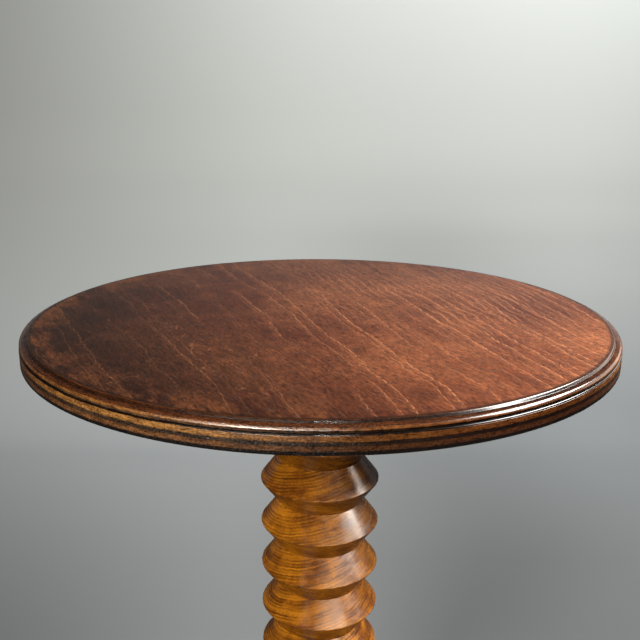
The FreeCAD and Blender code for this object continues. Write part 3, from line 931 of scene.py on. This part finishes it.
def collar():
    """Turned ring with a fillet and a cove."""
    low, high = foot_and_head("base_collar")
    edge = reach("base_collar")
    fillet_top = (edge, low + COLLAR_FILLET)
    cove_top = (COLLAR_TOP_RADIUS, high)
    outline = eased([(TENON_RADIUS, low), (edge, low, EASING), fillet_top])
    outline += bow(fillet_top, cove_top, -COLLAR_COVE)
    outline += [cove_top, (TENON_RADIUS, high)]
    piece = lathe("base_collar_turning", outline)
    dress(piece, [turned_wood("collar_wood", COLLAR_PITH)])
    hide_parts("base_collar")


# The feet

FOOT_COUNT = 4
FOOT_END_RADIUS = 23 * MM
FOOT_HEIGHT = 27 * MM
FOOT_TURNS = 160
SPIGOT_RADIUS = 10 * MM
FOOT_PITH = (4 * MM, -3 * MM)


def foot(number):
    """A low turned foot with its spigot."""
    node = f"foot_{number}"
    low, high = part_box(node)
    centre = (low + high) / 2
    radius = min(high.x - low.x, high.y - low.y) / 2
    foot_top = low.z + FOOT_HEIGHT
    outline = eased([
        (0.0, low.z),
        (FOOT_END_RADIUS, low.z, EASING),
        (radius, low.z + FOOT_HEIGHT / 2, RING_ARRIS),
        (FOOT_END_RADIUS, foot_top),
        (SPIGOT_RADIUS, foot_top),
        (SPIGOT_RADIUS, high.z),
        (0.0, high.z),
    ])
    piece = lathe(f"{node}_turning", outline, turns=FOOT_TURNS, at=(centre.x, centre.y))
    pith = (centre.x + FOOT_PITH[0], centre.y + FOOT_PITH[1])
    dress(piece, [turned_wood(f"{node}_wood", pith)])
    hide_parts(node)


# The cleat

CLEAT_BEVEL = 12 * MM


def cleat():
    """Bevelled disc under the top."""
    low, high = foot_and_head("top_cleat")
    edge = reach("top_cleat")
    outline = eased([
        (TENON_RADIUS, low),
        (edge - CLEAT_BEVEL, low, EASING),
        (edge, low + CLEAT_BEVEL, EASING),
        (edge, high),
        (TENON_RADIUS, high),
    ])
    piece = lathe("top_cleat_disc", outline)
    screw_holes(piece, "top_cleat", *CLEAT_SCREWS)
    dress(piece, [flat_wood("cleat_wood", math.radians(-35))])
    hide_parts("top_cleat")


# Carried-over hardware keeps its own shape and gets its material

def repaint(node, material):
    """Gives a node of the frame one new material."""
    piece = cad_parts[node]
    piece.data.materials.clear()
    piece.data.materials.append(material)


def hardware():
    """Screws, bolt, washer, wedge and glides."""
    brass = metal("brass", (0.62, 0.43, 0.16), 0.28)
    zinc = metal("zinc", (0.52, 0.53, 0.55), 0.32)
    repaint("cleat_screws", brass)
    repaint("plinth_screws", brass)
    repaint("base_washer", zinc)
    repaint("base_bolt", zinc)
    repaint("tenon_wedge", bare_wood("wedge_wood"))
    for number in range(1, FOOT_COUNT + 1):
        repaint(f"glide_{number}", felt(f"glide_{number}_felt"))


# Stage: a pale seamless sweep of floor, curve and wall

WALL_DISTANCE = 1.7
WALL_HEIGHT = 1.14
CURVE_RADIUS = 0.6
CURVE_STEPS = 24
SWEEP_HALF_WIDTH = 4.0
FLOOR_FRONT = -3.0

SWEEP_START = 0.4
SWEEP_END = 2.9
# By floor distance plus height: the tone, its rise towards the right and the depth of a painted shadow
# behind the column. The tone and its rise are painted light and shade on the sweep
SWEEP_TONES = (
    (0.40, 0.50, -0.38, 0.36),
    (0.63, 0.60, -0.26, 0.34),
    (0.78, 0.69, -0.15, 0.31),
    (0.97, 0.84, -0.06, 0.28),
    (1.20, 1.03, 0.00, 0.26),
    (1.87, 1.05, 0.04, 0.21),
    (2.12, 1.12, 0.13, 0.21),
    (2.22, 1.22, 0.19, 0.11),
    (2.37, 1.30, 0.24, 0.06),
    (2.51, 1.23, 0.27, 0.05),
    (2.90, 1.16, 0.28, 0.04),
)
PAPER_HIGH = (0.444, 0.465, 0.450)
PAPER_LOW = (0.442, 0.475, 0.492)
PAPER_UNSEEN = (0.06, 0.06, 0.06)
LEAN_WIDTH = 1.0
SHADOW_AT = 0.30
SHADOW_WIDTH = 0.52
# How far left of the middle the wall is darkest to polished wood
DARK_WALL_LEFT = 0.30


def sweep_stops(value):
    """Ramp stops along the sweep, with one value for each row of its tones."""
    length = SWEEP_END - SWEEP_START
    return [((row[0] - SWEEP_START) / length, (value(row),) * 3) for row in SWEEP_TONES]


def sweep_paper():
    """Paper in one tone to the camera, in another to polished wood, and dark to all other rays."""
    g = Graph("sweep_paper")
    x, y, z = g.place()
    rays = g.node("ShaderNodeLightPath")
    seen = g.out(rays, "Is Camera Ray")
    mirrored = g.math("MAXIMUM", g.out(rays, "Is Glossy Ray"), g.out(rays, "Is Transmission Ray"))

    # Painted light and shade that the camera sees: paler up the wall and to the right, with a painted shadow
    # behind the column
    run = (y + z - SWEEP_START) / (SWEEP_END - SWEEP_START)
    tones = g.ramp(run, sweep_stops(lambda row: row[1] / 2))
    leans = g.ramp(run, sweep_stops(lambda row: row[2] / 2 + 0.5))
    shadow_depths = g.ramp(run, sweep_stops(lambda row: row[3]))
    aside = g.step(x, -LEAN_WIDTH, LEAN_WIDTH, -LEAN_WIDTH, LEAN_WIDTH, smooth=False)
    leaning = (leans - 0.5) * 2.0 * aside + 1.0
    shadowed = 1.0 - shadow_depths * g.step(g.size(x - SHADOW_AT), SHADOW_WIDTH, 0.0)
    paper = g.blend(g.step(run, 0.85, 0.25), PAPER_HIGH, PAPER_LOW)
    plain = g.shade(paper, tones * 2.0 * leaning * shadowed)

    # To polished wood the paper is painted darker on the floor, near the wall's top and left of the middle:
    # painted shade in what the wood reflects
    wall = g.step(g.size(x + DARK_WALL_LEFT), 0.35, 1.1, 0.29, 0.52) * g.step(z, 0.35, 0.75, 0.12, 1.0)
    wall = wall * g.step(z, WALL_HEIGHT, 0.98, 0.25, 1.0)
    unseen = g.blend(mirrored, PAPER_UNSEEN, g.vector(wall, wall, wall))
    return g.surface(g.blend(seen, unseen, plain), 0.9)


def stage():
    """The sweep's mesh, with its paper."""
    line = [(FLOOR_FRONT, 0.0), (WALL_DISTANCE - CURVE_RADIUS, 0.0)]
    for step in range(1, CURVE_STEPS + 1):
        angle = math.pi / 2 * step / CURVE_STEPS
        depth = WALL_DISTANCE - CURVE_RADIUS + CURVE_RADIUS * math.sin(angle)
        line.append((depth, CURVE_RADIUS * (1 - math.cos(angle))))
    line.append((WALL_DISTANCE, WALL_HEIGHT))
    sides = (-SWEEP_HALF_WIDTH, SWEEP_HALF_WIDTH)
    points = [(side, depth, height) for depth, height in line for side in sides]
    faces = [(2 * i, 2 * i + 1, 2 * i + 3, 2 * i + 2) for i in range(len(line) - 1)]
    mesh = bpy.data.meshes.new("sweep")
    mesh.from_pydata(points, [], faces)
    mesh.shade_smooth()
    mesh.materials.append(sweep_paper())
    sweep = in_scene("sweep", mesh)


# Lamps: name, place, what it faces, width and height, watts and colour

RIGHT_SOFTBOX = (
    "right_softbox", (0.80, -0.13, 1.22), (0.0, -0.13, 0.62), (0.78, 0.36), 31, (1.0, 0.96, 0.91)
)
FRONT_KEY = ("front_key", (-0.90, -1.58, 1.36), (0.0, 0.0, 0.60), (0.6, 0.5), 42, (1.0, 0.96, 0.90))
WALL_WASH = ("wall_wash", (0.85, 0.85, 1.85), (0.85, 1.75, 1.45), (2.2, 0.4), 26, (1.0, 1.0, 1.0))
TOP_GLOSS = (
    ("left_crisp", (-0.80, -2.02, 1.42), (-0.05, -0.29, 0.65), (0.50, 0.14), 125, (1.0, 0.94, 0.85)),
    ("right_back", (1.30, 0.55, 0.92), (0.22, -0.18, 0.65), (1.00, 0.45), 2.8, (1.0, 0.84, 0.74)),
)
COLUMN_GLOSS = (
    ("right_glint", (1.106, -0.02, 1.178), (0.035, -0.04, 0.44), (0.26, 0.10), 57, (1.0, 0.95, 0.88)),
    ("right_streak", (1.10, -0.02, 0.95), (0.035, -0.04, 0.45), (0.24, 0.18), 1.3, (1.0, 0.90, 0.78)),
    ("front_sheen", (0.70, -1.60, 1.20), (0.0, -0.05, 0.44), (2.00, 0.30), 24, (1.0, 0.90, 0.74)),
    ("low_strip", (-0.50, -1.05, 0.12), (0.0, 0.0, 0.50), (0.65, 0.30), 1.6, (1.0, 0.80, 0.62)),
)
# The room's light, and the paler tone that the camera sees where the sweep ends
ROOM_COLOUR = (0.50, 0.51, 0.51, 1.0)
ROOM_LIGHT = 0.03
ROOM_SEEN = 0.60


def softbox(name, place, target, size, power, colour):
    """A rectangular lamp that faces a target."""
    lamp = bpy.data.lights.new(name, "AREA")
    lamp.shape = "RECTANGLE"
    lamp.size, lamp.size_y = size
    lamp.energy = power
    lamp.color = colour
    holder = in_scene(name, lamp)
    holder.location = place
    way = Vector(target) - Vector(place)
    holder.rotation_euler = way.to_track_quat("-Z", "Y").to_euler()
    return holder


def gloss_lamps(rows, piece):
    """Lamps that show only in the gloss of one piece."""
    for row in rows:
        lamp = softbox(*row)
        lamp.visible_diffuse = False
        reached = bpy.data.collections.new(f"{lamp.name}_reach")
        reached.objects.link(piece)
        lamp.light_linking.receiver_collection = reached


def lights(top, turning):
    """All lamps: those for the whole scene, and those for the gloss of the top and of the column."""
    softbox(*RIGHT_SOFTBOX)
    softbox(*FRONT_KEY).visible_glossy = False
    gloss_lamps(TOP_GLOSS, top)
    gloss_lamps(COLUMN_GLOSS, turning)
    softbox(*WALL_WASH)


def room():
    """Faint even light from all round."""
    world = bpy.data.worlds.new("room")
    bpy.context.scene.world = world
    world.use_nodes = True
    tree = world.node_tree
    shade = tree.nodes["Background"]
    shade.inputs["Color"].default_value = ROOM_COLOUR
    rays = tree.nodes.new("ShaderNodeLightPath")
    strength = tree.nodes.new("ShaderNodeMath")
    strength.operation = "MULTIPLY_ADD"
    strength.inputs[1].default_value = ROOM_SEEN
    strength.inputs[2].default_value = ROOM_LIGHT
    tree.links.new(rays.outputs["Is Camera Ray"], strength.inputs[0])
    tree.links.new(strength.outputs[0], shade.inputs["Strength"])


# Camera, fitted to the outlines of the top and the column. Angles are in radians.

CAMERA_PLACE = (-0.0015, -0.8560, 0.8905)
CAMERA_PITCH = 0.2696
CAMERA_ROLL = 0.0050
CAMERA_YAW = -0.001
CAMERA_NEAR = 0.05
CAMERA_FAR = 20.0
FOCAL_PIXELS = 862.2
FRAME_PIXELS = 640
SENSOR_WIDTH = 36.0


def camera():
    """The camera, which looks down at the top from the front."""
    lens = bpy.data.cameras.new("camera")
    lens.sensor_width = SENSOR_WIDTH
    lens.lens = FOCAL_PIXELS / FRAME_PIXELS * SENSOR_WIDTH
    lens.clip_start = CAMERA_NEAR
    lens.clip_end = CAMERA_FAR
    holder = in_scene("camera", lens)
    tilt = Matrix.Rotation(math.pi / 2 - CAMERA_PITCH, 4, "X")
    roll = Matrix.Rotation(CAMERA_ROLL, 4, "Z")
    yaw = Matrix.Rotation(CAMERA_YAW, 4, "Z")
    holder.matrix_world = Matrix.Translation(CAMERA_PLACE) @ yaw @ tilt @ roll
    bpy.context.scene.camera = holder


# The table. Each board shows another part of the veneer's figure, with its underside's grain turned.
top_piece = board("table_top", (0.0, 0.0), math.radians(-20))
board("base_step", (0.31, 0.17), math.radians(40))
board("plinth", (-0.22, 0.36), math.radians(10), PLINTH_SCREWS)
column_piece = column()
collar()
cleat()
for number in range(1, FOOT_COUNT + 1):
    foot(number)
hardware()

stage()
lights(top_piece, column_piece)
room()
camera()
bpy.context.scene.view_settings.view_transform = "Standard"
